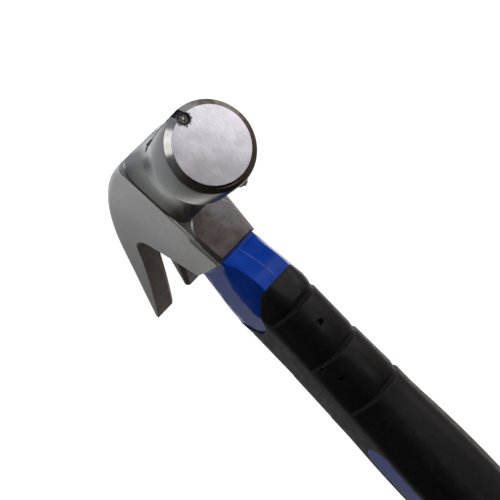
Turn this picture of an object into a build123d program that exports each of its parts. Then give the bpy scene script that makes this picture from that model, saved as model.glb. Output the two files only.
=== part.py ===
from build123d import *
from math import cos, pi, radians, sin, sqrt, tan
import os

# A 16 oz claw hammer with a fibreglass core handle. Millimetres.
# Every shape is drawn from the point where the poll axis crosses the handle axis: +X runs to the
# striking face, +Z to the top of the head and -Z down the handle. save() lifts the finished pieces
# so that the middle of the flat butt end is the origin.

# Driving dimensions
OVERALL_LENGTH = 330.0        # top of the head to the butt
HEAD_TOP = 16.0               # poll axis to the top of the eye
HEAD_BOTTOM = -32.0           # poll axis to the bottom of the eye
FACE_X = 60.2                 # striking face from the handle axis
CLAW_TIP_X = -78.6            # claw tips from the handle axis
FACE_RADIUS = 12.7
BELL_RADIUS = 15.1
CHEEK_HALF_WIDTH = 12.7       # at the top of the eye
CHEEK_DRAFT = 0.079           # how fast the cheeks close in going down, mm per mm
TIP_HALF_WIDTH = 14.2         # across the outsides of the two claw tips
CLAW_SLOPE = 43.0             # degrees below level, along the straight end of the claw
BUTT_Z = HEAD_TOP - OVERALL_LENGTH

# Head: poll and neck
CHAMFER_LENGTH = 1.8          # along the poll, between the face and the bell
BELL_BACK_X = 43.5
BELL_STEP = 0.25              # drop from the bell to the neck
CREASE_TOP_X = 14.9           # front edge of the cheek at the top of the head
CREASE_BOTTOM_X = 12.2        # and at the bottom of the eye
FACET_X = 13.7                # ground flat on the front of the eye
FACET_HALF_WIDTH = 8.5
FACET_ARCH_Z = -20.0          # the straight sides of the flat end here and its arch begins
FACET_TOP_Z = -12.8

# Head: eye and claw outline
CROWN_START_X = 9.0           # the top turns down towards the claw from here
CROWN_RADIUS = 80.0
CORNER_RADIUS = 3.4           # between the top and the cheeks, over the eye
TIP_CORNER_RADIUS = 1.2       # and at the claw tips
FLARE_START_X = -10.0         # the claw widens from here to its tips
EYE_BACK_X = -14.4            # back of the eye at its bottom
HEEL_RADIUS = 2.5             # rounding there
ARCH_X = -28.5                # where the back of the eye meets the underside of the claw
ARCH_Z = -5.0
ARCH_RADIUS = 7.0
CLAW_BOW = 1.6                # the underside of the claw bulges down by this much at mid length
TIP_THICKNESS = 1.6
SLOT_APEX_X = -31.0
SLOT_TIP_HALF_WIDTH = 4.4
SLOT_APEX_RADIUS = 1.1
SLOT_BEVEL = 4.2              # width of the thinned edge along the slot
SLOT_BEVEL_SLOPE = 0.9
SLOT_BEVEL_TAPER = 0.75       # share of the width lost by the tips

# Eye hole, rod and resin
ROD_X = 17.0                  # rod section along X
ROD_Y = 10.6
EYE_GAP = 1.1                 # resin between the rod and the bottom of the eye
EYE_FLARE = 1.2               # the eye opens by this much on each side at the top
DAM_HEIGHT = 3.0
ROD_TOP = 13.0                # rod and resin end level, a little under the top of the head
ROD_BOTTOM = BUTT_Z + 36.0

# Nail starter on the poll
GROOVE_RADIUS = 1.7
GROOVE_Z = 14.4
GROOVE_BACK_X = 27.0
GROOVE_TURN = 4.0             # degrees about the poll axis: the groove sits a little off the top
NOTCH_DEPTH = 3.2             # where the groove breaks out through the rim
HEAD_POCKET_WIDTH = 7.0       # for the head of the nail, across the poll
HEAD_POCKET_LENGTH = 3.2      # and along it
HEAD_POCKET_BOTTOM_Z = 11.4
MAGNET_RADIUS = 2.0
MAGNET_LENGTH = 7.0
MAGNET_Z = 11.7
MAGNET_SINK = 0.5
MAGNET_GLUE = 0.1

# Handle
GRIP_TOP = -48.5              # edge of the grip on its front and back
TONGUE_DEPTH = 13.0           # on each side the edge dips by this much in a rounded tongue
TONGUE_HALF_WIDTH = 18.0
FINGER_GROOVES = [-60.0, -81.0, -101.5]  # grooves across the front of the grip and round its sides
FINGER_GROOVE_DEPTH = 1.3     # at the front
FINGER_GROOVE_SIDE_DEPTH = 0.15
FINGER_GROOVE_RAMP = 2.2      # the surface runs in over this height above the groove
FINGER_GROOVE_LIP = 1.0       # and comes out again over this height below it
LIP_RISE = 0.45               # each stretch of grip starts this much further forward than the last ends
LIP_SIDE_RISE = 0.12          # and this much wider
GROOVES_END = -108.0          # plain from here down
INLAY_TOP = -118.0
INLAY_BOTTOM = -262.0
INLAY_HALF_WIDTH = 6.0
INLAY_BACK_Y = 12.0           # the panels have flat backs at this distance from the middle
CAP_FLANGE = 4.0
CAP_STEP = 0.8                # the cap is this much smaller than the grip all round
SPIGOT_LENGTH = 9.0
SPIGOT_X = 14.0
SPIGOT_Y = 9.0
HANG_HOLE_RADIUS = 4.0
HANG_HOLE_Z = BUTT_Z + 26.0

# Jacket sections: height, front and back in X, half width of the front and back flats, half width
# of the whole section in Y, and how far the side flats reach from the middle in X
JACKET_SECTIONS = [
    (HEAD_BOTTOM, 11.8, -13.8, 7.7, 8.1, 11.2),
    (-34.0, 12.4, -14.2, 7.1, 8.4, 10.9),
    (-37.0, 14.8, -15.6, 6.6, 9.2, 9.8),
    (-41.0, 17.1, -17.3, 6.4, 10.1, 8.5),
    (-45.0, 18.6, -18.6, 6.4, 10.7, 8.5),
    (-48.5, 18.9, -18.9, 6.4, 11.0, 8.8),
    (-52.5, 18.4, -18.4, 6.0, 11.1, 9.1),
    (-57.0, 17.4, -17.4, 5.6, 11.0, 9.0),
    (-62.0, 16.6, -16.6, 5.2, 10.6, 8.4),
    (-67.0, 16.0, -16.0, 5.0, 9.0, 8.0),
]

# Grip sections: height, half depth in X, half width in Y. The corners are cut off like the jacket's.
GRIP_SECTIONS = [
    (-44.0, 18.8, 10.2),
    (-47.5, 19.6, 11.0),
    (-50.5, 20.3, 11.4),
    (-55.0, 20.6, 11.5),
    (-59.0, 20.5, 11.3),
    (-63.0, 20.3, 11.2),
    (-80.0, 20.2, 11.6),
    (-92.0, 20.2, 12.1),
    (-108.0, 20.2, 12.9),
    (-122.0, 20.2, 13.7),
    (-139.0, 20.0, 14.5),
    (-158.0, 19.5, 14.7),
    (-177.0, 18.9, 14.5),
    (-196.0, 18.4, 14.1),
    (-215.0, 18.2, 13.9),
    (-234.0, 18.4, 14.0),
    (-253.0, 19.2, 14.5),
    (-272.0, 20.6, 15.3),
    (-291.0, 22.0, 16.2),
    (BUTT_Z + CAP_FLANGE, 22.2, 16.3),
]
GRIP_FLAT = 0.55              # half width of the front flat, as a share of the half width
GRIP_SIDE = 0.46              # reach of the side flats, as a share of the half depth
GRIP_ROUNDING = 8.0           # radius of the rounded corners
COLLAR_ROUNDING = 4.0         # and at the edge of the grip, where it closes on the jacket
COLLAR_BOTTOM = -62.0


def solid_of(shape):
    """The one solid in a boolean result."""
    return shape.solids().sort_by(SortBy.VOLUME)[-1]


def flat_face(points):
    return Face(Wire.make_polygon(points, close=True))


# ---------------------------------------------------------------- head

def top_height(x):
    """Height of the top of the head: level, then a long arc, then the straight end of the claw."""
    if x >= CROWN_START_X:
        return HEAD_TOP
    bend = radians(CLAW_SLOPE)
    arc_end_x = CROWN_START_X - CROWN_RADIUS * sin(bend)
    if x >= arc_end_x:
        return HEAD_TOP - CROWN_RADIUS + sqrt(CROWN_RADIUS ** 2 - (CROWN_START_X - x) ** 2)
    arc_end_z = HEAD_TOP - CROWN_RADIUS * (1 - cos(bend))
    return arc_end_z - (arc_end_x - x) * tan(bend)


def top_half_width(x):
    """Half width of the head at its top surface: even over the eye, wider out to the claw tips."""
    reach = max(0.0, (FLARE_START_X - x) / (FLARE_START_X - CLAW_TIP_X))
    return CHEEK_HALF_WIDTH + (TIP_HALF_WIDTH - CHEEK_HALF_WIDTH) * reach ** 1.4


def corner_radius(x):
    """Rounding between the top and the cheeks, smaller towards the claw tips."""
    reach = max(0.0, (CROWN_START_X - x) / (CROWN_START_X - CLAW_TIP_X))
    return CORNER_RADIUS - (CORNER_RADIUS - TIP_CORNER_RADIUS) * reach


def envelope_section(x):
    """Cross section of cheeks and top at x, open downwards well below the head."""
    top = top_height(x)
    half = top_half_width(x)
    radius = corner_radius(x)
    low = HEAD_BOTTOM - 15
    foot = half - CHEEK_DRAFT * (top - low)
    shoulder = half - CHEEK_DRAFT * radius
    lean = radius * (1 - 1 / sqrt(2))
    flat = half - radius
    edges = [
        Line((x, -foot, low), (x, foot, low)),
        Line((x, foot, low), (x, shoulder, top - radius)),
        ThreePointArc((x, shoulder, top - radius), (x, half - lean, top - lean), (x, flat, top)),
        Line((x, flat, top), (x, -flat, top)),
        ThreePointArc((x, -flat, top), (x, lean - half, top - lean), (x, -shoulder, top - radius)),
        Line((x, -shoulder, top - radius), (x, -foot, low)),
    ]
    return Face(Wire(edges))


def head_envelope():
    stations = [CREASE_TOP_X + 1, 6, -3, -12, -22, -32, -42, -52, -62, -72, CLAW_TIP_X - 1]
    return loft([envelope_section(x) for x in stations])


def underside_height(x):
    """Height of the underside of the claw, from the arch to the tips."""
    tip_z = top_height(CLAW_TIP_X) - TIP_THICKNESS / cos(radians(CLAW_SLOPE))
    share = (x - ARCH_X) / (CLAW_TIP_X - ARCH_X)
    return ARCH_Z + share * (tip_z - ARCH_Z) - 4 * CLAW_BOW * share * (1 - share)


def head_side():
    """Side view of eye and claw: front edge, bottom, back of the eye, arch, underside and tip."""
    high = HEAD_TOP + 5
    arch = (ARCH_X, 0, ARCH_Z)
    middle_x = (ARCH_X + CLAW_TIP_X) / 2
    tip = (CLAW_TIP_X, 0, underside_height(CLAW_TIP_X))
    edges = [
        Line((CREASE_TOP_X + 0.3, 0, high), (CREASE_BOTTOM_X, 0, HEAD_BOTTOM)),
        Line((CREASE_BOTTOM_X, 0, HEAD_BOTTOM), (EYE_BACK_X, 0, HEAD_BOTTOM)),
        Line((EYE_BACK_X, 0, HEAD_BOTTOM), arch),
        ThreePointArc(arch, (middle_x, 0, underside_height(middle_x)), tip),
        Line(tip, (CLAW_TIP_X, 0, high)),
        Line((CLAW_TIP_X, 0, high), (CREASE_TOP_X + 0.3, 0, high)),
    ]
    side = extrude(Face(Wire(edges)), amount=20, dir=(0, 1, 0), both=True)
    across = side.edges().filter_by(Axis.Y)
    arch_edge = across.sort_by_distance((ARCH_X, 0, ARCH_Z))[0]
    heel_edge = across.sort_by_distance((EYE_BACK_X, 0, HEAD_BOTTOM))[0]
    side = fillet(arch_edge, ARCH_RADIUS)
    return fillet(side.edges().filter_by(Axis.Y).sort_by_distance(heel_edge.center())[0], HEEL_RADIUS)


def neck_section(x, half_width, top, bottom, power, tilt):
    """Rounded section of the neck. power 2 is an ellipse, more is squarer. tilt leans it in X."""
    centre = (top + bottom) / 2
    half_height = (top - bottom) / 2
    points = []
    for step in range(28):
        angle = 2 * pi * (step + 0.5) / 28
        across = abs(cos(angle)) ** (2 / power) * (1 if cos(angle) > 0 else -1)
        up = abs(sin(angle)) ** (2 / power) * (1 if sin(angle) > 0 else -1)
        z = centre + half_height * up
        draft = CHEEK_DRAFT * (HEAD_TOP - z) * (1 - (x - CREASE_TOP_X) / (BELL_BACK_X - CREASE_TOP_X))
        points.append((x + tilt * z, (half_width - draft) * across, z))
    return Face(Wire(Spline(points, periodic=True)))


def neck():
    """Blend from the round bell, through a waist, to the square front of the eye."""
    tilt = (CREASE_TOP_X - CREASE_BOTTOM_X) / (HEAD_TOP - HEAD_BOTTOM)
    crease_x = CREASE_TOP_X - tilt * HEAD_TOP
    start_radius = BELL_RADIUS - BELL_STEP
    sections = [
        neck_section(BELL_BACK_X + 0.5, start_radius, start_radius, -start_radius, 2, 0),
        neck_section(38.0, 13.1, 14.7, -13.4, 2.15, 0),
        neck_section(31.0, 11.5, 14.4, -12.2, 2.25, 0),
        neck_section(24.0, 10.9, 14.5, -12.0, 2.5, tilt / 2),
        neck_section(18.5, 11.4, 15.1, -12.5, 3.2, tilt),
        neck_section(crease_x, 12.3, 15.9, -14.5, 5.0, tilt),
    ]
    return loft(sections)


def poll():
    """Flat striking face, chamfer and bell, turned about the poll axis."""
    rim_x = FACE_X - CHAMFER_LENGTH
    ease = 0.5
    edges = [
        Line((BELL_BACK_X, 0, 0), (FACE_X, 0, 0)),
        Line((FACE_X, 0, 0), (FACE_X, 0, FACE_RADIUS)),
        Line((FACE_X, 0, FACE_RADIUS), (rim_x + ease * 0.4, 0, BELL_RADIUS - ease * 0.5)),
        Line((rim_x + ease * 0.4, 0, BELL_RADIUS - ease * 0.5), (rim_x - ease, 0, BELL_RADIUS)),
        Line((rim_x - ease, 0, BELL_RADIUS), (BELL_BACK_X, 0, BELL_RADIUS)),
        Line((BELL_BACK_X, 0, BELL_RADIUS), (BELL_BACK_X, 0, 0)),
    ]
    return revolve(Face(Wire(edges)), Axis.X)


def eye_front():
    """Ground flat on the front of the eye under the neck, arched at its top, with bevelled sides."""
    def outline(x, grow):
        half = FACET_HALF_WIDTH + grow
        low = HEAD_BOTTOM + 0.9 - grow * 0.4
        lower_half = half - 1.0
        edges = [
            Line((x, -lower_half, low), (x, lower_half, low)),
            Line((x, lower_half, low), (x, half, FACET_ARCH_Z)),
            ThreePointArc((x, half, FACET_ARCH_Z), (x, 0, FACET_TOP_Z + grow), (x, -half, FACET_ARCH_Z)),
            Line((x, -half, FACET_ARCH_Z), (x, -lower_half, low)),
        ]
        return Face(Wire(edges))

    outlines = [outline(CREASE_BOTTOM_X - 2, 2.0), outline(FACET_X - 1.2, 1.2), outline(FACET_X, 0)]
    return loft(outlines, ruled=True)


def eye_hole():
    """Tapered hole for the handle, from under the eye to above the top of the head."""
    def outline(z, grow):
        return Pos(0, 0, z) * RectangleRounded(ROD_X + 2 * grow, ROD_Y + 2 * grow, 4.0)

    return loft([
        outline(HEAD_BOTTOM - 1, EYE_GAP),
        outline(HEAD_TOP + 3, EYE_GAP + EYE_FLARE),
    ])


def claw_slot():
    """V between the prongs, cut straight through, with a thinned edge on the underside."""
    tip_x = CLAW_TIP_X - 2
    apex = SLOT_APEX_X
    under = 2 * HEAD_BOTTOM
    height = 3 * (HEAD_TOP - HEAD_BOTTOM)
    through = [
        (apex, SLOT_APEX_RADIUS, under),
        (tip_x, SLOT_TIP_HALF_WIDTH, under),
        (tip_x, -SLOT_TIP_HALF_WIDTH, under),
        (apex, -SLOT_APEX_RADIUS, under),
    ]
    wedge = extrude(flat_face(through), amount=height, dir=(0, 0, 1))
    rounded_apex = Pos(apex, 0, under) * extrude(Circle(SLOT_APEX_RADIUS), amount=height)

    def bevel_section(x):
        share = (x - apex) / (tip_x - apex)
        slot_half = SLOT_APEX_RADIUS + share * (SLOT_TIP_HALF_WIDTH - SLOT_APEX_RADIUS)
        reach = slot_half + SLOT_BEVEL * (1 - SLOT_BEVEL_TAPER * share)
        drop = 8
        low = underside_height(x) - drop
        foot = reach + drop / SLOT_BEVEL_SLOPE
        return flat_face([(x, -foot, low), (x, foot, low), (x, 0, low + foot * SLOT_BEVEL_SLOPE)])

    bevel = loft([bevel_section(apex + step / 5 * (tip_x - apex)) for step in range(6)], ruled=True)
    return wedge + rounded_apex, bevel


def nail_groove():
    """Groove along the top of the poll for a nail, with a pocket for its head at the back."""
    start = Plane(origin=(FACE_X + 1, 0, GROOVE_Z), x_dir=(0, 1, 0), z_dir=(-1, 0, 0.02))
    length = FACE_X + 1 - GROOVE_BACK_X
    channel = extrude(start * Circle(GROOVE_RADIUS), amount=length)
    notch = extrude(start * Rectangle(2 * GROOVE_RADIUS, 6), amount=NOTCH_DEPTH)
    pocket_top_z = HEAD_TOP + 2
    pocket_top = Plane(origin=(GROOVE_BACK_X + HEAD_POCKET_LENGTH / 2, 0, pocket_top_z), z_dir=(0, 0, -1))
    pocket_outline = pocket_top * RectangleRounded(HEAD_POCKET_LENGTH, HEAD_POCKET_WIDTH, 1.0)
    head_pocket = extrude(pocket_outline, amount=pocket_top_z - HEAD_POCKET_BOTTOM_Z)
    return Rot(GROOVE_TURN, 0, 0) * (channel + notch + head_pocket)


def magnet_bar(radius, front_x, length):
    """Round bar along the poll at the place of the nail magnet."""
    front = Plane(origin=(front_x, 0, MAGNET_Z), z_dir=(-1, 0, 0))
    return Rot(GROOVE_TURN, 0, 0) * extrude(front * Circle(radius), amount=length)


def head():
    body = head_envelope() & head_side()
    body = solid_of(body + neck() + poll() + eye_front())
    slot, bevel = claw_slot()
    body = solid_of(body - slot)
    body = solid_of(body - bevel)
    body = solid_of(body - eye_hole())
    body = solid_of(body - nail_groove())
    depth = MAGNET_LENGTH + MAGNET_SINK + MAGNET_GLUE
    return solid_of(body - magnet_bar(MAGNET_RADIUS + MAGNET_GLUE, FACE_X + 1, depth + 1))


def nail_magnet():
    return magnet_bar(MAGNET_RADIUS, FACE_X - MAGNET_SINK, MAGNET_LENGTH)


# ---------------------------------------------------------------- inside the eye

def rod_bar(bottom, top):
    return Pos(0, 0, bottom) * extrude(RectangleRounded(ROD_X, ROD_Y, 4.0), amount=top - bottom)


def core_rod():
    return solid_of(rod_bar(ROD_BOTTOM, ROD_TOP))


def eye_filling(bottom, top):
    """What fills the eye round the rod between two heights."""
    slab = Pos(0, 0, (bottom + top) / 2) * Box(60, 40, top - bottom)
    return solid_of((eye_hole() & slab) - rod_bar(bottom - 1, top + 1))


def resin_dam():
    return eye_filling(HEAD_BOTTOM, HEAD_BOTTOM + DAM_HEIGHT)


def eye_epoxy():
    return eye_filling(HEAD_BOTTOM + DAM_HEIGHT, ROD_TOP)


# ---------------------------------------------------------------- handle

def jacket_section(z, front, back, flat, half_y, side):
    """Rectangle with its four corners cut off."""
    side_back = max(-side, back + 0.5)
    right = [(front, flat), (side, half_y), (side_back, half_y), (back, flat)]
    left = [(x, -y) for x, y in reversed(right)]
    return flat_face([(x, y, z) for x, y in right + left])


def jacket_body():
    """Outside of the jacket: faceted where it is bare, plain where the grip hides it."""
    low = BUTT_Z + CAP_FLANGE
    last = JACKET_SECTIONS[-1]
    bare = loft([jacket_section(*row) for row in JACKET_SECTIONS])
    hidden = loft([jacket_section(*last), jacket_section(low, *last[1:])], ruled=True)
    return bare + hidden


def hang_hole():
    return Pos(0, 0, HANG_HOLE_Z) * Rot(90, 0, 0) * Cylinder(HANG_HOLE_RADIUS, 60)


def cap_spigot():
    low = BUTT_Z + CAP_FLANGE
    return Pos(0, 0, low) * extrude(RectangleRounded(SPIGOT_X, SPIGOT_Y, 2.0), amount=SPIGOT_LENGTH)


def handle_jacket():
    body = solid_of(jacket_body() - rod_bar(ROD_BOTTOM, HEAD_BOTTOM + 1))
    return solid_of(body - cap_spigot() - hang_hole())


def grip_section(z, half_x, half_y, groove=0.0):
    """Section of the grip: rectangle with cut, rounded corners. A groove sets its front back."""
    half_x = half_x - groove / 2
    flat = GRIP_FLAT * half_y
    side = GRIP_SIDE * half_x
    right = [(half_x, flat), (side, half_y), (-side, half_y), (-half_x, flat)]
    points = right + [(x, -y) for x, y in reversed(right)]
    corners = make_face(Polyline(*points, close=True))
    share = min(1.0, max(0.0, (GRIP_TOP - z) / (GRIP_TOP - COLLAR_BOTTOM)))
    rounding = COLLAR_ROUNDING + share * (GRIP_ROUNDING - COLLAR_ROUNDING)
    return Pos(-groove / 2, 0, z) * fillet(corners.vertices(), rounding)


def grip_size(z):
    """Half depth and half width of the grip at any height, between the listed ones."""
    for (z0, x0, y0), (z1, x1, y1) in zip(GRIP_SECTIONS, GRIP_SECTIONS[1:]):
        if z0 >= z >= z1:
            share = (z0 - z) / (z0 - z1)
            return x0 + share * (x1 - x0), y0 + share * (y1 - y0)
    raise ValueError("height outside the grip")


def groove_sections(z):
    """Start of the ramp, bottom and lower lip of one finger groove."""
    ramp_z = z + FINGER_GROOVE_RAMP
    lip_z = z - FINGER_GROOVE_LIP
    half_x, half_y = grip_size(z)
    lip_x, lip_y = grip_size(lip_z)
    return [
        grip_section(ramp_z, *grip_size(ramp_z)),
        grip_section(z, half_x, half_y - FINGER_GROOVE_SIDE_DEPTH, FINGER_GROOVE_DEPTH),
        grip_section(lip_z, lip_x, lip_y + LIP_SIDE_RISE, -LIP_RISE),
    ]


def grip_body():
    """Outside of the grip: collar and finger grooves above, one smooth shape below."""
    collar = [row for row in GRIP_SECTIONS if row[0] > FINGER_GROOVES[0] + FINGER_GROOVE_RAMP]
    sections = [grip_section(*row) for row in collar]
    for z in FINGER_GROOVES:
        sections += groove_sections(z)
    sections.append(grip_section(GROOVES_END, *grip_size(GROOVES_END)))
    upper = loft(sections, ruled=True)
    lower = loft([grip_section(*row) for row in GRIP_SECTIONS if row[0] <= GROOVES_END])
    return solid_of(upper + lower)


def side_tongue():
    """Rounded dip of the grip's edge on both sides, where more of the jacket shows."""
    high = GRIP_TOP + 8
    bend = [
        (TONGUE_HALF_WIDTH * share, 0, GRIP_TOP - TONGUE_DEPTH * cos(pi / 2 * abs(share)) ** 1.5)
        for share in (-1, -0.75, -0.5, -0.25, 0, 0.25, 0.5, 0.75, 1)
    ]
    edges = [
        Spline(bend),
        Line(bend[-1], (TONGUE_HALF_WIDTH, 0, high)),
        Line((TONGUE_HALF_WIDTH, 0, high), (-TONGUE_HALF_WIDTH, 0, high)),
        Line((-TONGUE_HALF_WIDTH, 0, high), bend[0]),
    ]
    return extrude(Face(Wire(edges)), amount=30, dir=(0, 1, 0), both=True)


def inlay_outline():
    """Long panel with round ends, seen from the side, as a bar through the grip."""
    length = INLAY_TOP - INLAY_BOTTOM
    middle = (INLAY_TOP + INLAY_BOTTOM) / 2
    side_view = Plane(origin=(0, 0, middle), x_dir=(0, 0, 1), z_dir=(0, 1, 0))
    return extrude(side_view * SlotOverall(length, 2 * INLAY_HALF_WIDTH), amount=30, both=True)


def inlay(side):
    """Panel on the +Y side (side 1) or the -Y side (side -1)."""
    half_space = Pos(0, side * (INLAY_BACK_Y + 20), -150) * Box(60, 40, 400)
    return solid_of(grip_body() & inlay_outline() & half_space)


def grip_sleeve():
    body = grip_body()
    body = body & (Pos(0, 0, (GRIP_TOP + BUTT_Z) / 2) * Box(80, 80, GRIP_TOP - BUTT_Z))
    body = solid_of(body - side_tongue() - jacket_body() - hang_hole())
    return solid_of(body - inlay(1) - inlay(-1))


def butt_cap():
    flange_x, flange_y = GRIP_SECTIONS[-1][1:]
    plate = loft([
        grip_section(BUTT_Z + CAP_FLANGE, flange_x - CAP_STEP, flange_y - CAP_STEP),
        grip_section(BUTT_Z + 1.6, flange_x - CAP_STEP, flange_y - CAP_STEP),
    ], ruled=True)
    edge = loft([
        grip_section(BUTT_Z + 1.6, flange_x - CAP_STEP, flange_y - CAP_STEP),
        grip_section(BUTT_Z, flange_x - CAP_STEP - 1.4, flange_y - CAP_STEP - 1.4),
    ], ruled=True)
    return solid_of(plate + edge + cap_spigot())


# ---------------------------------------------------------------- output

def save(name, shape):
    export_step(Pos(0, 0, -BUTT_Z) * shape, f"parts/{name}.step")


os.makedirs("parts", exist_ok=True)
save("head", head())
save("nail_magnet", nail_magnet())
save("core_rod", core_rod())
save("eye_epoxy", eye_epoxy())
save("resin_dam", resin_dam())
save("handle_jacket", handle_jacket())
save("grip_sleeve", grip_sleeve())
save("inlay_right", inlay(1))
save("inlay_left", inlay(-1))
save("butt_cap", butt_cap())
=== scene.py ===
from math import atan2, cos, pi, radians, sin

import bpy
from mathutils import Matrix, Vector


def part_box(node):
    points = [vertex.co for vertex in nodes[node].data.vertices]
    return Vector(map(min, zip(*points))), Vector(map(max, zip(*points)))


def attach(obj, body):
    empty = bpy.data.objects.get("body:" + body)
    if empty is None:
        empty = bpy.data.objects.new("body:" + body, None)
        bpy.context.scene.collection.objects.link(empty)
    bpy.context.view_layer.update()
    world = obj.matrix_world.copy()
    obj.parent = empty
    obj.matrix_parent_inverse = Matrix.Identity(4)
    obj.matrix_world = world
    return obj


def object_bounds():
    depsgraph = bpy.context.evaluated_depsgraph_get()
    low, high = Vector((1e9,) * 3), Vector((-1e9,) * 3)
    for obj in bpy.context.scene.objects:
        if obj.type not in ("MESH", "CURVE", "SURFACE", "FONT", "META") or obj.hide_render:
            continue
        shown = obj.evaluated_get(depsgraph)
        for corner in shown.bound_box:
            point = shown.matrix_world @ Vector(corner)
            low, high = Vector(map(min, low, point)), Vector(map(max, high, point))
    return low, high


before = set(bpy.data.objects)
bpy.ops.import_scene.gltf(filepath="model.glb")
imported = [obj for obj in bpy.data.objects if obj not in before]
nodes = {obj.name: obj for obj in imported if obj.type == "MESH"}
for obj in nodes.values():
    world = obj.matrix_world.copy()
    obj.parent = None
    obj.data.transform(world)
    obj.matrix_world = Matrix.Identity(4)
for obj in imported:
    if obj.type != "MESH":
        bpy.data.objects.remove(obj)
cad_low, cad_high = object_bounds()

# A claw hammer standing on its butt end. Metres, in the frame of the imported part: the origin is the
# middle of the butt, +Z runs up the handle and +X from the handle to the striking face.
MM = 0.001
head_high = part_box("head")[1]
jacket_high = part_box("handle_jacket")[1]
magnet_low, magnet_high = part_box("nail_magnet")
magnet_centre = (Vector(magnet_low) + Vector(magnet_high)) / 2

FACE_X = head_high.x                         # plane of the striking face
EYE_BOTTOM = jacket_high.z                   # the handle enters the head here
EYE_TOP = head_high.z
POLL_RADIUS = head_high.y                    # outside of the bell
FACE_RADIUS = 12.7 * MM                      # flat disc inside the chamfer
POLL_DEPTH = 16 * MM                         # from the top of the head down to the axis of the poll
POLL_Z = EYE_TOP - POLL_DEPTH
GROOVE_TURN = atan2(-magnet_centre.y, magnet_centre.z - POLL_Z)  # of the nail groove, about that axis

scene = bpy.context.scene


# ---------------------------------------------------------------- materials

class Nodes:
    """A material's node tree, with short calls for the nodes used below."""

    def __init__(self, name):
        self.material = bpy.data.materials.new(name)
        self.material.use_nodes = True
        self.tree = self.material.node_tree
        self.tree.nodes.clear()
        self.output = self.tree.nodes.new("ShaderNodeOutputMaterial")
        self.surface = self.tree.nodes.new("ShaderNodeBsdfPrincipled")
        self.tree.links.new(self.surface.outputs[0], self.output.inputs[0])
        self.place = self.tree.nodes.new("ShaderNodeTexCoord").outputs["Object"]

    def set(self, socket, value):
        if isinstance(value, bpy.types.NodeSocket):
            self.tree.links.new(value, socket)
        else:
            socket.default_value = value

    def stretched(self, x, y, z, turn=(0, 0, 0)):
        """The object's coordinates turned, then scaled, as a texture position."""
        mapping = self.tree.nodes.new("ShaderNodeMapping")
        mapping.inputs["Rotation"].default_value = [radians(a) for a in turn]
        mapping.inputs["Scale"].default_value = (x, y, z)
        self.tree.links.new(self.place, mapping.inputs["Vector"])
        return mapping.outputs[0]

    def noise(self, scale, detail=4.0, rough=0.55, at=None):
        node = self.tree.nodes.new("ShaderNodeTexNoise")
        node.inputs["Scale"].default_value = scale
        node.inputs["Detail"].default_value = detail
        node.inputs["Roughness"].default_value = rough
        self.tree.links.new(at or self.place, node.inputs["Vector"])
        return node.outputs["Fac"]

    def cells(self, scale, at=None):
        node = self.tree.nodes.new("ShaderNodeTexVoronoi")
        node.inputs["Scale"].default_value = scale
        self.tree.links.new(at or self.place, node.inputs["Vector"])
        return node.outputs["Distance"]

    def remap(self, value, low, high, to_low=0.0, to_high=1.0):
        node = self.tree.nodes.new("ShaderNodeMapRange")
        node.interpolation_type = "SMOOTHSTEP"
        self.set(node.inputs["Value"], value)
        self.set(node.inputs["From Min"], low)
        self.set(node.inputs["From Max"], high)
        self.set(node.inputs["To Min"], to_low)
        self.set(node.inputs["To Max"], to_high)
        return node.outputs["Result"]

    def maths(self, operation, a, b=0.0):
        node = self.tree.nodes.new("ShaderNodeMath")
        node.operation = operation
        self.set(node.inputs[0], a)
        self.set(node.inputs[1], b)
        return node.outputs[0]

    def mix(self, factor, a, b):
        node = self.tree.nodes.new("ShaderNodeMix")
        node.data_type = "RGBA"
        self.set(node.inputs[0], factor)
        self.set(node.inputs[6], (*a, 1) if isinstance(a, tuple) else a)
        self.set(node.inputs[7], (*b, 1) if isinstance(b, tuple) else b)
        return node.outputs[2]

    def axis(self, name):
        node = self.tree.nodes.new("ShaderNodeSeparateXYZ")
        self.tree.links.new(self.place, node.inputs[0])
        return node.outputs[name]

    def around_poll(self):
        """Degrees round the poll axis, 0 at the far side (+Y), 90 at the top, and the distance from it."""
        rise = self.maths("SUBTRACT", self.axis("Z"), POLL_Z)
        angle = self.maths("MULTIPLY", self.maths("ARCTAN2", rise, self.axis("Y")), 180 / pi)
        return angle, self.length(rise, self.axis("Y"))

    def length(self, a, b):
        """Length of the diagonal over two sides at right angles."""
        squares = self.maths("ADD", self.maths("POWER", a, 2), self.maths("POWER", b, 2))
        return self.maths("SQRT", squares)

    def from_magnet(self):
        """Distance from the middle of the magnet, across the face."""
        aside = self.maths("SUBTRACT", self.axis("Y"), magnet_centre.y)
        rise = self.maths("SUBTRACT", self.axis("Z"), magnet_centre.z)
        return self.length(aside, rise)

    def near(self, value, centre, reach):
        """1 where the value is this centre, falling to 0 at this reach on both sides."""
        offset = self.maths("ABSOLUTE", self.maths("SUBTRACT", value, centre))
        return self.remap(offset, 0, reach, 1.0, 0.0)

    def finish(self, colour, rough, heights=(), edge=0.0, **more):
        """Joins colour, roughness, bumps [(height, distance, strength)] and rounded edges."""
        inputs = self.surface.inputs
        self.set(inputs["Base Color"], (*colour, 1) if isinstance(colour, tuple) else colour)
        self.set(inputs["Roughness"], rough)
        for name, value in more.items():
            self.set(inputs[name.replace("_", " ")], value)
        normal = None
        if edge:
            bevel = self.tree.nodes.new("ShaderNodeBevel")
            bevel.samples = 6
            bevel.inputs["Radius"].default_value = edge
            normal = bevel.outputs[0]
        for height, distance, strength in heights:
            bump = self.tree.nodes.new("ShaderNodeBump")
            bump.inputs["Distance"].default_value = distance
            bump.inputs["Strength"].default_value = strength
            self.set(bump.inputs["Height"], height)
            if normal:
                self.tree.links.new(normal, bump.inputs["Normal"])
            normal = bump.outputs[0]
        if normal:
            self.tree.links.new(normal, inputs["Normal"])
        return self.material


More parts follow.
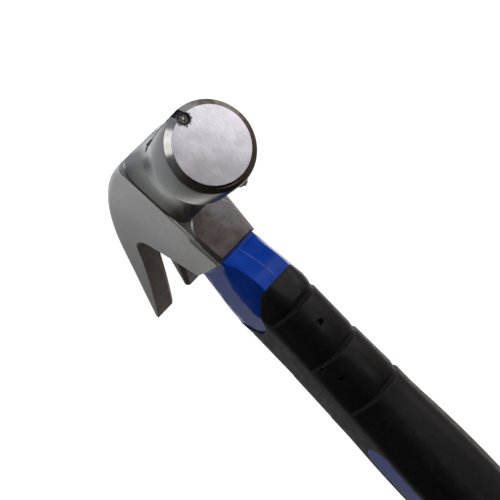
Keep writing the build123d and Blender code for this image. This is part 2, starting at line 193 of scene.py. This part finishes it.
def brushed_face():
    """Striking face: ground across in one direction, pale, with fine scratches, painted shade towards the
    bottom and near side, and painted shade in a ragged notch round the magnet.
    """
    n = Nodes("face_brushed")
    lines = n.noise(1.0, 3, 0.6, n.stretched(300, 4200, 330, (4, 0, 0)))
    fine = n.noise(1.0, 2, 0.6, n.stretched(600, 12000, 900, (-3, 0, 0)))
    patches = n.noise(260, 3)
    colour = n.mix(n.remap(lines, 0.3, 0.7), (0.60, 0.58, 0.62), (0.80, 0.78, 0.83))
    colour = n.mix(n.remap(patches, 0.35, 0.75, 0, 0.25), colour, (0.52, 0.50, 0.53))
    # painted shade: the flat face grows darker towards the bottom and the near side
    rise = n.maths("SUBTRACT", n.axis("Z"), POLL_Z)
    sweep = n.maths("ADD", n.maths("MULTIPLY", n.axis("Y"), 0.72), n.maths("MULTIPLY", rise, 0.69))
    wave = n.remap(n.noise(140, 2), 0.3, 0.7, -3 * MM, 3 * MM)
    painted_shade = n.remap(n.maths("ADD", sweep, wave), -13 * MM, 9 * MM, 0.78, 0.0)
    colour = n.mix(painted_shade, colour, (0.27, 0.255, 0.27))
    # painted shade: a near black ragged ring round the magnet stands in for the shade inside the notch
    ragged = n.remap(n.noise(850, 5, 0.75), 0.3, 0.7, -0.8 * MM, 0.8 * MM)
    notch_shade = n.remap(n.maths("ADD", n.from_magnet(), ragged), 2.3 * MM, 2.9 * MM, 1.0, 0.0)
    colour = n.mix(n.maths("MULTIPLY", notch_shade, 0.9), colour, (0.05, 0.05, 0.048))
    rough = n.remap(fine, 0.3, 0.7, 0.30, 0.42)
    return n.finish(colour, rough, [(lines, 0.02 * MM, 0.6), (fine, 0.01 * MM, 0.5)], 0.25 * MM, Metallic=1.0)


def polished_chamfer():
    """Turned bevel round the striking face: pale steel near the top, with a painted dark brown reflection
    round the rest and a painted glint line low on the near side.
    """
    n = Nodes("chamfer_polished")
    marks = n.noise(1.0, 3, 0.6, n.stretched(5200, 180, 180))
    stain = n.noise(420, 4)
    angle, away = n.around_poll()
    angle = n.maths("ADD", angle, n.remap(stain, 0.3, 0.7, -9, 9))
    colour = n.mix(n.remap(stain, 0.35, 0.75), (0.60, 0.60, 0.58), (0.52, 0.49, 0.45))
    # painted reflection: dark brown where the bevel would mirror dim surroundings, at the far top and round
    # the lower half
    painted_reflection = n.maths("MAXIMUM", n.near(angle, 52, 22), n.remap(angle, -10, 12, 1.0, 0.0))
    painted_reflection = n.maths("MULTIPLY", painted_reflection, n.remap(angle, -128, -100, 0.35, 1.0))
    colour = n.mix(n.maths("MULTIPLY", painted_reflection, 0.8), colour, (0.16, 0.125, 0.10))
    # painted glint: a thin pale brown highlight line low on the near side, just outside the flat face
    glint = n.maths("MULTIPLY", n.near(away, FACE_RADIUS + 0.8 * MM, 0.35 * MM), n.near(angle, -112, 26))
    colour = n.mix(n.maths("MULTIPLY", glint, 0.9), colour, (1.0, 0.80, 0.55))
    rough = n.remap(marks, 0.3, 0.7, 0.12, 0.22)
    rough = n.maths("ADD", rough, n.maths("MULTIPLY", glint, 0.35))
    return n.finish(colour, rough, [(marks, 0.01 * MM, 0.4)], 0.3 * MM, Metallic=1.0)


def painted_head_shading(n, colour):
    """Painted light and shade: the cheeks are darker at the bottom and paler at the top, and the bell is
    darker below.
    """
    middle = EYE_BOTTOM + 24 * MM
    on_cheek = n.remap(n.axis("X"), 14 * MM, 17 * MM, 1.0, 0.0)
    low = n.remap(n.axis("Z"), EYE_BOTTOM, middle, 0.42, 0.0)
    high = n.remap(n.axis("Z"), middle, EYE_TOP, 0.0, 0.6)
    # painted shade low on the cheeks, painted light high on them
    colour = n.mix(n.maths("MULTIPLY", low, on_cheek), colour, (0.30, 0.30, 0.29))
    colour = n.mix(n.maths("MULTIPLY", high, on_cheek), colour, (0.80, 0.80, 0.80))
    # painted shade under the bell
    shade_below_bell = n.remap(n.axis("Z"), POLL_Z - 15 * MM, POLL_Z - 9 * MM, 0.7, 0.0)
    on_bell = n.remap(n.axis("X"), 36 * MM, 44 * MM)
    return n.mix(n.maths("MULTIPLY", shade_below_bell, on_bell), colour, (0.22, 0.21, 0.20))


def groove_shade_line(n):
    """1 in the dark, ragged and speckled line of painted shade along the nail groove, 0 away from it."""
    ragged = n.remap(n.noise(650, 5, 0.7), 0.3, 0.7, -1.1 * MM, 1.1 * MM)
    offset = n.maths("ADD", n.maths("ADD", n.axis("Y"), 1.0 * MM), ragged)
    outer = n.remap(n.axis("X"), FACE_X - 26 * MM, FACE_X - 6 * MM, 5.2 * MM, 3.4 * MM)
    inner = n.maths("SUBTRACT", outer, 0.7 * MM)
    shade_line = n.remap(n.maths("ABSOLUTE", offset), inner, outer, 1.0, 0.0)
    along = n.remap(n.axis("X"), 27 * MM, 30 * MM)
    above = n.remap(n.axis("Z"), POLL_Z, EYE_TOP)
    span = n.remap(n.maths("MULTIPLY", along, above), 0.45, 0.6)
    speckle = n.remap(n.noise(1500, 3, 0.7), 0.35, 0.5, 0.35, 1.0)
    return n.maths("MULTIPLY", n.maths("MULTIPLY", shade_line, span), speckle)


def satin_steel():
    """Ground and satin polished forging: faint belt marks, soft stains, a few scratches, with painted light
    and shade on the cheeks and bell and a line of painted shade along the nail groove.
    """
    n = Nodes("steel_satin")
    belt = n.noise(1.0, 3, 0.6, n.stretched(260, 2600, 3600, (0, 12, 0)))
    cloud = n.noise(95, 4)
    grain = n.noise(2600, 3)
    scratch = n.noise(1.0, 1, 0.4, n.stretched(160, 5200, 5200, (14, 33, 8)))
    colour = n.mix(n.remap(cloud, 0.3, 0.7), (0.50, 0.51, 0.50), (0.60, 0.61, 0.60))
    colour = n.mix(n.remap(scratch, 0.74, 0.84, 0, 0.08), colour, (0.70, 0.70, 0.70))
    colour = painted_head_shading(n, colour)
    shade_line = groove_shade_line(n)
    # painted shade: a near black, dull, non-metal line along the nail groove
    colour = n.mix(n.maths("MULTIPLY", shade_line, 0.93), colour, (0.025, 0.025, 0.022))
    rough = n.maths("ADD", n.remap(cloud, 0.3, 0.7, 0.27, 0.36), n.remap(belt, 0.3, 0.7, -0.03, 0.05))
    bare = n.maths("SUBTRACT", 1.0, shade_line)
    rough = n.maths("ADD", rough, n.maths("MULTIPLY", shade_line, 0.4))
    bumps = [(belt, 0.02 * MM, 0.35), (grain, 0.01 * MM, 0.3), (shade_line, -0.12 * MM, 0.7)]
    shine = n.maths("MULTIPLY", bare, 0.5)
    return n.finish(colour, rough, bumps, 0.3 * MM, Metallic=bare, Specular_IOR_Level=shine)


def scaled_steel():
    """Forging skin left unground: brown grey, rough, with fine light specks."""
    n = Nodes("steel_scale")
    cloud = n.noise(240, 5, 0.6)
    grain = n.noise(1800, 4, 0.65)
    specks = n.cells(1500)
    colour = n.mix(n.remap(cloud, 0.3, 0.7), (0.10, 0.082, 0.074), (0.16, 0.14, 0.132))
    colour = n.mix(n.remap(specks, 0.0, 0.16, 0.55, 0.0), colour, (0.62, 0.58, 0.54))
    # paler towards the top and the far side
    paler_top_far = n.maths("ADD", n.maths("MULTIPLY", n.axis("Z"), 0.4), n.maths("MULTIPLY", n.axis("Y"), 1.0))
    paler_top_far = n.maths("ADD", paler_top_far, n.remap(cloud, 0.3, 0.7, -1.5 * MM, 1.5 * MM))
    paler_top_far = n.remap(paler_top_far, EYE_BOTTOM * 0.4 + 3 * MM, EYE_BOTTOM * 0.4 + 11 * MM, 0, 0.6)
    colour = n.mix(paler_top_far, colour, (0.30, 0.29, 0.30))
    rough = n.remap(grain, 0.3, 0.7, 0.42, 0.62)
    bumps = [(cloud, 0.06 * MM, 0.5), (grain, 0.04 * MM, 0.6)]
    return n.finish(colour, rough, bumps, 0.4 * MM, Metallic=0.85)


def rough_groove():
    """Walls of the nail starter: milled, never polished, very dark."""
    n = Nodes("groove_dark")
    grain = n.noise(1300, 5, 0.7)
    colour = n.mix(n.remap(grain, 0.40, 0.65), (0.010, 0.010, 0.009), (0.10, 0.097, 0.09))
    rough = n.remap(grain, 0.3, 0.7, 0.45, 0.7)
    return n.finish(colour, rough, [(grain, 0.2 * MM, 1.0)], Metallic=0.3, Specular_IOR_Level=0.2)


def dark_magnet():
    """Chipped ferrite plug with a paler ring and a bright spot in the middle."""
    n = Nodes("magnet_dark")
    grain = n.noise(2200, 4, 0.7)
    chips = n.cells(900)
    ragged = n.remap(n.noise(900, 4, 0.6), 0.3, 0.7, -0.55 * MM, 0.55 * MM)
    away = n.maths("ADD", n.from_magnet(), ragged)
    colour = n.mix(n.remap(grain, 0.35, 0.7), (0.015, 0.015, 0.014), (0.07, 0.07, 0.065))
    colour = n.mix(n.near(away, 1.05 * MM, 0.42 * MM), colour, (0.26, 0.26, 0.24))
    colour = n.mix(n.near(away, 0.0, 0.45 * MM), colour, (0.9, 0.9, 0.85))
    rough = n.remap(grain, 0.3, 0.7, 0.35, 0.65)
    return n.finish(colour, rough, [(grain, 0.25 * MM, 1.0), (chips, 0.2 * MM, 0.6)], Metallic=0.6)


def blue_plastic():
    """Glossy blue moulding with faint flow marks, rubbed paler spots, and a raised parting line along the
    middle near the head, painted paler as a highlight.
    """
    n = Nodes("plastic_blue")
    flow = n.noise(1.0, 4, 0.5, n.stretched(160, 160, 60))
    grain = n.noise(1500, 3)
    rubbed = n.noise(520, 5, 0.7)
    colour = n.mix(n.remap(flow, 0.3, 0.7), (0.004, 0.062, 0.50), (0.008, 0.088, 0.64))
    colour = n.mix(n.remap(rubbed, 0.68, 0.80, 0, 0.35), colour, (0.16, 0.24, 0.60))
    # parting line: a real ridge made by bump, with its highlight painted paler into the colour
    parting_ridge_and_highlight = n.remap(n.maths("ABSOLUTE", n.axis("Y")), 0.12 * MM, 0.34 * MM, 1.0, 0.0)
    below = n.maths("SUBTRACT", EYE_BOTTOM, n.axis("Z"))
    ends = n.maths("MULTIPLY", n.remap(below, 0.5 * MM, 2 * MM), n.remap(below, 14 * MM, 17 * MM, 1.0, 0.0))
    broken = n.remap(n.noise(900, 4, 0.6), 0.35, 0.6, 0.25, 0.75)
    parting_ridge_and_highlight = n.maths("MULTIPLY", n.maths("MULTIPLY", parting_ridge_and_highlight, ends), broken)
    colour = n.mix(n.maths("MULTIPLY", parting_ridge_and_highlight, 0.5), colour, (0.24, 0.34, 0.72))
    rough = n.remap(grain, 0.3, 0.7, 0.16, 0.26)
    bumps = [(parting_ridge_and_highlight, 0.15 * MM, 0.8), (flow, 0.10 * MM, 0.2), (grain, 0.01 * MM, 0.3)]
    return n.finish(colour, rough, bumps, 0.5 * MM, Specular_IOR_Level=0.17)


def grip_rubber():
    """Black moulded rubber, satin, with a fine grain and some dust."""
    n = Nodes("rubber_black")
    grain = n.noise(2400, 4, 0.7)
    dust = n.noise(330, 6, 0.75)
    colour = n.mix(n.remap(dust, 0.5, 0.8, 0, 0.5), (0.013, 0.0125, 0.013), (0.050, 0.048, 0.050))
    rough = n.remap(dust, 0.35, 0.7, 0.42, 0.58)
    return n.finish(colour, rough, [(grain, 0.03 * MM, 0.5)], 0.6 * MM, Specular_IOR_Level=0.3)


def cap_plastic():
    """Hard black plastic of the butt cap, lightly rubbed."""
    n = Nodes("plastic_cap")
    grain = n.noise(1900, 4, 0.6)
    rub = n.noise(300, 5, 0.7)
    colour = n.mix(n.remap(rub, 0.45, 0.75), (0.012, 0.012, 0.013), (0.045, 0.045, 0.047))
    return n.finish(colour, n.remap(grain, 0.3, 0.7, 0.35, 0.5), [(grain, 0.03 * MM, 0.5)], 0.4 * MM)


def poured_epoxy():
    """Brown poured resin, glossy, with faint swirls."""
    n = Nodes("epoxy_poured")
    swirl = n.noise(260, 5, 0.6)
    colour = n.mix(n.remap(swirl, 0.3, 0.7), (0.045, 0.030, 0.018), (0.10, 0.075, 0.05))
    return n.finish(colour, n.remap(swirl, 0.3, 0.7, 0.12, 0.28), [(swirl, 0.25 * MM, 0.4)], 0.3 * MM)


def glass_fibre():
    """Pultruded rod: straw coloured resin with the cut ends of the fibres."""
    n = Nodes("fibre_rod")
    ends = n.cells(2300)
    cloud = n.noise(300, 4)
    colour = n.mix(n.remap(ends, 0.1, 0.5), (0.74, 0.66, 0.40), (0.52, 0.43, 0.22))
    colour = n.mix(n.remap(cloud, 0.4, 0.7, 0, 0.5), colour, (0.62, 0.55, 0.36))
    return n.finish(colour, n.remap(cloud, 0.3, 0.7, 0.35, 0.55), [(ends, 0.05 * MM, 0.5)], 0.3 * MM)


def foam_rubber():
    """Soft black foam with open pores."""
    n = Nodes("rubber_foam")
    pores = n.cells(1400)
    colour = n.mix(n.remap(pores, 0.1, 0.5), (0.015, 0.015, 0.015), (0.06, 0.06, 0.06))
    return n.finish(colour, 0.85, [(pores, 0.15 * MM, 0.8)])


def paint(piece, *materials):
    piece.data.materials.clear()
    for material in materials:
        piece.data.materials.append(material)


# ---------------------------------------------------------------- the object

def smooth(piece, degrees, cutters=()):
    """Smooth shading, with creases sharper than this angle kept, after cutting away the cutters."""
    for polygon in piece.data.polygons:
        polygon.use_smooth = True
    if piece.data.has_custom_normals:
        piece.data.attributes.remove(piece.data.attributes["custom_normal"])
    weld = piece.modifiers.new("weld", "WELD")
    weld.merge_threshold = 0.005 * MM
    for cutter in cutters:
        cut = piece.modifiers.new("cut", "BOOLEAN")
        cut.operation = "DIFFERENCE"
        cut.solver = "EXACT"
        cut.object = cutter
    crease = piece.modifiers.new("crease", "EDGE_SPLIT")
    crease.split_angle = radians(degrees)


def pin_cutter(name, front, aside, below, radius):
    """Ragged pin that leaves one moulding mark in the grip. Lengths in mm from the eye's bottom centre."""
    bpy.ops.mesh.primitive_cylinder_add(vertices=14, radius=radius * MM, depth=2.4 * MM)
    pin = bpy.context.object
    pin.name = name
    for vertex in pin.data.vertices:
        spread = 1 + 0.22 * sin(7.3 * vertex.index + below)
        vertex.co.x *= spread
        vertex.co.y *= 1.5 / spread
    pin.location = (front * MM, aside * MM, EYE_BOTTOM - below * MM)
    pin.rotation_euler = (0, radians(90), atan2(aside, front))
    pin.hide_render = True
    pin.hide_viewport = True
    return pin


# Moulding marks in the grip: front, aside, below and radius, as pin_cutter takes them
PIN_MARKS = [
    (20.0, -0.6, 37.3, 1.0),
    (14.2, -9.8, 50.5, 0.6),
    (16.6, -7.9, 57, 0.75),
    (15.6, -9.1, 27.5, 0.6),
]


def pin_cutters():
    return [pin_cutter(f"pin_{count}", *mark) for count, mark in enumerate(PIN_MARKS)]


# Material slots of the head, and where one surface of it ends and the next begins
SATIN, FACE, CHAMFER, SCALE, GROOVE = range(5)
GROOVE_REACH = 2.2 * MM                      # to each side of the middle of the nail groove
GROOVE_FLOOR = 8 * MM                        # above the poll axis
GROOVE_START_X = 25 * MM
RIM_DEPTH = 2.4 * MM                         # back from the striking face
CHAMFER_DEPTH = 2.6 * MM                     # and a little more, to take in all of the chamfer
CHAMFER_INSIDE = 12 * MM                     # from the poll axis
FLAT_DROP = 12.5 * MM                        # the flat on the front of the eye is this far below that axis
FLAT_FRONT_X = 10 * MM
CLAW_START_X = -10 * MM
SLOT_START_X = -20 * MM
SLOT_REACH = 6 * MM                          # to each side of the middle


def finish_head():
    """Gives each ground or unground surface of the head its own finish. """
    head = nodes["head"]
    paint(head, satin_steel(), brushed_face(), polished_chamfer(), scaled_steel(), rough_groove())
    for polygon in head.data.polygons:
        polygon.material_index = SATIN
        centre = polygon.center
        normal = polygon.normal
        away = Vector((0, centre.y, centre.z - POLL_Z)).length
        in_slot = abs(normal.y) > 0.7 and abs(centre.y) < SLOT_REACH and centre.x < SLOT_START_X
        across = centre.y * cos(GROOVE_TURN) + (centre.z - POLL_Z) * sin(GROOVE_TURN)
        over_groove = abs(across) < GROOVE_REACH and centre.z > POLL_Z + GROOVE_FLOOR
        in_groove = over_groove and centre.x > GROOVE_START_X
        behind_rim = centre.x < FACE_X - RIM_DEPTH
        below_poll = centre.z < POLL_Z - FLAT_DROP
        if in_groove and away < POLL_RADIUS - 0.2 * MM and (normal.x < 0.5 or behind_rim):
            polygon.material_index = GROOVE
        elif centre.x > FACE_X - 0.1 * MM:
            polygon.material_index = FACE
        elif centre.x > FACE_X - CHAMFER_DEPTH and away > CHAMFER_INSIDE and normal.x > 0.3:
            polygon.material_index = CHAMFER
        elif centre.x > FLAT_FRONT_X and below_poll and normal.x > 0.93:
            polygon.material_index = SCALE
        elif centre.x < CLAW_START_X and (normal.z < -0.25 and abs(normal.y) < 0.75 or in_slot):
            polygon.material_index = SCALE
    smooth(head, 24)


finish_head()
FINISHES = {
    "nail_magnet": dark_magnet,
    "core_rod": glass_fibre,
    "eye_epoxy": poured_epoxy,
    "resin_dam": foam_rubber,
    "handle_jacket": blue_plastic,
    "grip_sleeve": grip_rubber,
    "inlay_right": blue_plastic,
    "inlay_left": blue_plastic,
    "butt_cap": cap_plastic,
}
for name, finish in FINISHES.items():
    paint(nodes[name], finish())
    smooth(nodes[name], 30, pin_cutters() if name == "grip_sleeve" else ())


def flash_remnant():
    """Small lump of forging flash left under the bell."""
    bpy.ops.mesh.primitive_ico_sphere_add(subdivisions=4, radius=1)
    lump = bpy.context.object
    lump.name = "flash_remnant"
    for vertex in lump.data.vertices:
        x, y, z = vertex.co
        swell = 1 + 0.14 * sin(3.1 * x + 1.0) * cos(4.3 * y) + 0.07 * sin(9 * x + 7 * y + 5 * z)
        vertex.co = Vector((2.8 * x, 1.9 * y, 1.5 * z)) * swell * MM
    for polygon in lump.data.polygons:
        polygon.use_smooth = True
    lump.location = (FACE_X - 6.2 * MM, 1.2 * MM, POLL_Z - POLL_RADIUS + 0.45 * MM)
    paint(lump, satin_steel())
    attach(lump, "root")


flash_remnant()


# ---------------------------------------------------------------- surroundings

def make_floor():
    """Pale floor. The object doesn't mirror it, so that its undersides stay dark."""
    bpy.ops.mesh.primitive_plane_add(size=30, location=(0, 0, cad_low.z - 0.05 * MM))
    floor = bpy.context.object
    floor.name = "floor"
    n = Nodes("floor_pale")
    speck = n.noise(60, 3)
    colour = n.mix(n.remap(speck, 0.3, 0.7), (0.93, 0.93, 0.93), (0.96, 0.96, 0.96))
    n.finish(colour, 0.9, Emission_Color=(1, 1, 1, 1), Emission_Strength=0.8)
    floor.data.materials.append(n.material)
    floor.visible_glossy = False
    floor.visible_diffuse = False


# What the polished steel mirrors: direction, inner and outer angle in degrees, colour added
WORLD_PATCHES = [
    ((-0.93, 0.34, -0.11), 12, 45, (0.75, 0.75, 0.75)),
    ((-0.55, 0.34, -0.72), 10, 55, (0.36, 0.335, 0.315)),
    ((-0.93, -0.20, 0.30), 10, 60, (0.20, 0.205, 0.205)),
    ((-0.10, 0.95, 0.35), 15, 60, (0.30, 0.26, 0.22)),
    ((0.0, 0.1, 1.0), 10, 60, (0.16, 0.17, 0.22)),
]
WORLD_AMBIENT = [(-1.0, (0.012, 0.009, 0.007)), (-0.35, (0.03, 0.024, 0.02)), (0.5, (0.09, 0.09, 0.10))]


def make_world():
    """White to the camera. To the object: dim, with soft bright patches behind, above and at the far side."""
    world = bpy.data.worlds.new("room")
    scene.world = world
    world.use_nodes = True
    tree = world.node_tree
    tree.nodes.clear()
    output = tree.nodes.new("ShaderNodeOutputWorld")
    place = tree.nodes.new("ShaderNodeTexCoord").outputs["Generated"]

    def step(value, low, high, to_low, to_high):
        """Smooth step between two colours. The node's vector inputs are numbers 7 to 10."""
        node = tree.nodes.new("ShaderNodeMapRange")
        node.data_type = "FLOAT_VECTOR"
        node.interpolation_type = "SMOOTHSTEP"
        tree.links.new(value, node.inputs["Vector"])
        for place_in_node, vector in zip(range(7, 11), ((low,) * 3, (high,) * 3, to_low, to_high)):
            node.inputs[place_in_node].default_value = vector
        return node.outputs["Vector"]

    def dot(direction):
        node = tree.nodes.new("ShaderNodeVectorMath")
        node.operation = "DOT_PRODUCT"
        tree.links.new(place, node.inputs[0])
        node.inputs[1].default_value = Vector(direction).normalized()
        return node.outputs["Value"]

    def add(a, b):
        node = tree.nodes.new("ShaderNodeVectorMath")
        tree.links.new(a, node.inputs[0])
        tree.links.new(b, node.inputs[1])
        return node.outputs[0]

    height = dot((0, 0, 1))
    (z0, c0), (z1, c1), (z2, c2) = WORLD_AMBIENT
    light = step(height, z0, z1, c0, c1)
    light = add(light, step(height, z1, z2, (0, 0, 0), [b - a for a, b in zip(c1, c2)]))
    for direction, inner, outer, colour in WORLD_PATCHES:
        patch = step(dot(direction), cos(radians(outer)), cos(radians(inner)), (0, 0, 0), colour)
        light = add(light, patch)
    room = tree.nodes.new("ShaderNodeBackground")
    tree.links.new(light, room.inputs["Color"])
    white = tree.nodes.new("ShaderNodeBackground")
    white.inputs["Color"].default_value = (1, 1, 1, 1)
    white.inputs["Strength"].default_value = 1.3
    rays = tree.nodes.new("ShaderNodeLightPath")
    choice = tree.nodes.new("ShaderNodeMixShader")
    tree.links.new(rays.outputs["Is Camera Ray"], choice.inputs[0])
    tree.links.new(room.outputs[0], choice.inputs[1])
    tree.links.new(white.outputs[0], choice.inputs[2])
    tree.links.new(choice.outputs[0], output.inputs[0])


def make_light(name, towards, distance, width, height, brightness, colour=(1, 1, 1)):
    """Soft box in this direction from the head, aimed at it."""
    middle = Vector((0, 0, EYE_BOTTOM))
    direction = Vector(towards).normalized()
    data = bpy.data.lights.new(name, "AREA")
    data.shape = "RECTANGLE"
    data.size = width
    data.size_y = height
    data.energy = brightness * pi * width * height
    data.color = colour
    light = bpy.data.objects.new(name, data)
    light.location = middle + direction * distance
    light.rotation_mode = "QUATERNION"
    light.rotation_quaternion = (-direction).to_track_quat("-Z", "Y")
    light.visible_camera = False
    scene.collection.objects.link(light)


def make_camera():
    """Close to the striking face, a little above it and turned about the line of sight."""
    azimuth = radians(70.15)
    elevation = radians(6.29)
    roll = radians(44.23)
    distance = 0.425
    aim = Vector((0.46 * MM, 6.64 * MM, head_high.z - 53.4 * MM))
    back = Vector((sin(azimuth) * cos(elevation), -cos(azimuth) * cos(elevation), sin(elevation)))
    level_right = Vector((cos(azimuth), sin(azimuth), 0))
    level_up = back.cross(level_right)
    up = level_up * cos(roll) + level_right * sin(roll)
    right = up.cross(back)
    data = bpy.data.cameras.new("camera")
    data.sensor_width = 36
    data.lens = 86.38
    data.clip_start = 0.01
    camera = bpy.data.objects.new("camera", data)
    axes = Matrix((right, up, back)).transposed()
    camera.matrix_world = Matrix.Translation(aim + back * distance) @ axes.to_4x4()
    scene.collection.objects.link(camera)
    scene.camera = camera


make_floor()
make_world()
make_camera()
make_light("front_box", (0.75, 0.66, 0.10), 0.9, 0.75, 0.9, 1.9, (1.0, 0.975, 1.0))
make_light("top_box", (0.50, -0.42, 0.76), 0.9, 0.50, 0.50, 1.2)
scene.view_settings.view_transform = "Standard"
